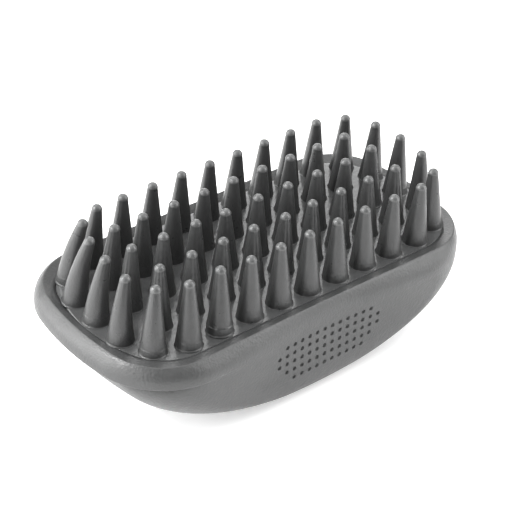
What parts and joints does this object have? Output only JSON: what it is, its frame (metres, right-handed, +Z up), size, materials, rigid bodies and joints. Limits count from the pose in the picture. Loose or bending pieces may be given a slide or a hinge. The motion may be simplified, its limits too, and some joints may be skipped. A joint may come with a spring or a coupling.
{
  "type": "rubber curry brush",
  "caption": "Palm-sized rubber curry brush: a domed hollow grip with dimpled sides and a flat pad of tapered, round-tipped rubber pins that bend and spring back.",
  "frame": {"origin": "below the middle of the rim, at the height of the small flat on the palm side that the brush rests on", "axes": "+X along the length towards the heel end (the end pins at -X curl inwards), +Y across, +Z up along the pins"},
  "size_m": [0.1236, 0.065, 0.0487],
  "materials": {
    "grip_rubber": "matt, fine orange-peel grain",
    "pad_rubber": "smooth, semi-gloss",
    "pin_rubber": "smooth, satin",
    "plate_plastic": "moulded, matt"
  },
  "bodies": {
    "handle": {"grip_shell": "grip_rubber", "backing_plate": "plate_plastic", "pin_pad": "pad_rubber"},
    "row_c": {"pin_c1": "pin_rubber", "pin_c2": "pin_rubber", "pin_c3": "pin_rubber", "pin_c4": "pin_rubber", "pin_c5": "pin_rubber", "pin_c6": "pin_rubber", "pin_c7": "pin_rubber", "pin_c8": "pin_rubber", "pin_c9": "pin_rubber", "toe_pin_3": "pin_rubber", "heel_pin_3": "pin_rubber"},
    "row_a": {"pin_a1": "pin_rubber", "pin_a2": "pin_rubber", "pin_a3": "pin_rubber", "pin_a4": "pin_rubber", "pin_a5": "pin_rubber", "pin_a6": "pin_rubber", "pin_a7": "pin_rubber", "pin_a8": "pin_rubber", "pin_a9": "pin_rubber"},
    "row_b": {"pin_b1": "pin_rubber", "pin_b2": "pin_rubber", "pin_b3": "pin_rubber", "pin_b4": "pin_rubber", "pin_b5": "pin_rubber", "pin_b6": "pin_rubber", "pin_b7": "pin_rubber", "pin_b8": "pin_rubber", "pin_b9": "pin_rubber"},
    "row_d": {"pin_d1": "pin_rubber", "pin_d2": "pin_rubber", "pin_d3": "pin_rubber", "pin_d4": "pin_rubber", "pin_d5": "pin_rubber", "pin_d6": "pin_rubber", "pin_d7": "pin_rubber", "pin_d8": "pin_rubber", "pin_d9": "pin_rubber"},
    "row_e": {"pin_e1": "pin_rubber", "pin_e2": "pin_rubber", "pin_e3": "pin_rubber", "pin_e4": "pin_rubber", "pin_e5": "pin_rubber", "pin_e6": "pin_rubber", "pin_e7": "pin_rubber", "pin_e8": "pin_rubber", "pin_e9": "pin_rubber"},
    "end_pair_1": {"toe_pin_1": "pin_rubber", "heel_pin_1": "pin_rubber"},
    "end_pair_2": {"toe_pin_2": "pin_rubber", "heel_pin_2": "pin_rubber"},
    "end_pair_4": {"toe_pin_4": "pin_rubber", "heel_pin_4": "pin_rubber"},
    "end_pair_5": {"toe_pin_5": "pin_rubber", "heel_pin_5": "pin_rubber"}
  },
  "joints": [
    {"name": "row_c_bend", "type": "hinge", "parent": "handle", "child": "row_c", "pos_m": [0, 0, 0.03], "axis": [1, 0, 0], "range_deg": [-18, 18], "stiffness_Nm_per_rad": 0.55},
    {"name": "row_a_bend", "type": "hinge", "parent": "handle", "child": "row_a", "pos_m": [0, 0.022, 0.03], "axis": [1, 0, 0], "range_deg": [-18, 18], "stiffness_Nm_per_rad": 0.45},
    {"name": "row_b_bend", "type": "hinge", "parent": "handle", "child": "row_b", "pos_m": [0, 0.011, 0.03], "axis": [1, 0, 0], "range_deg": [-18, 18], "stiffness_Nm_per_rad": 0.45},
    {"name": "row_d_bend", "type": "hinge", "parent": "handle", "child": "row_d", "pos_m": [0, -0.011, 0.03], "axis": [1, 0, 0], "range_deg": [-18, 18], "stiffness_Nm_per_rad": 0.45},
    {"name": "row_e_bend", "type": "hinge", "parent": "handle", "child": "row_e", "pos_m": [0, -0.022, 0.03], "axis": [1, 0, 0], "range_deg": [-18, 18], "stiffness_Nm_per_rad": 0.45},
    {"name": "end_pair_1_bend", "type": "hinge", "parent": "handle", "child": "end_pair_1", "pos_m": [0, 0.0189, 0.03], "axis": [1, 0, 0], "range_deg": [-18, 18], "stiffness_Nm_per_rad": 0.1},
    {"name": "end_pair_2_bend", "type": "hinge", "parent": "handle", "child": "end_pair_2", "pos_m": [0, 0.0102, 0.03], "axis": [1, 0, 0], "range_deg": [-18, 18], "stiffness_Nm_per_rad": 0.1},
    {"name": "end_pair_4_bend", "type": "hinge", "parent": "handle", "child": "end_pair_4", "pos_m": [0, -0.0102, 0.03], "axis": [1, 0, 0], "range_deg": [-18, 18], "stiffness_Nm_per_rad": 0.1},
    {"name": "end_pair_5_bend", "type": "hinge", "parent": "handle", "child": "end_pair_5", "pos_m": [0, -0.0189, 0.03], "axis": [1, 0, 0], "range_deg": [-18, 18], "stiffness_Nm_per_rad": 0.1}
  ],
  "couplings": [
    {"joint": "row_a_bend", "follows": "row_c_bend", "ratio": 1},
    {"joint": "row_b_bend", "follows": "row_c_bend", "ratio": 1},
    {"joint": "row_d_bend", "follows": "row_c_bend", "ratio": 1},
    {"joint": "row_e_bend", "follows": "row_c_bend", "ratio": 1},
    {"joint": "end_pair_1_bend", "follows": "row_c_bend", "ratio": 1},
    {"joint": "end_pair_2_bend", "follows": "row_c_bend", "ratio": 1},
    {"joint": "end_pair_4_bend", "follows": "row_c_bend", "ratio": 1},
    {"joint": "end_pair_5_bend", "follows": "row_c_bend", "ratio": 1}
  ]
}
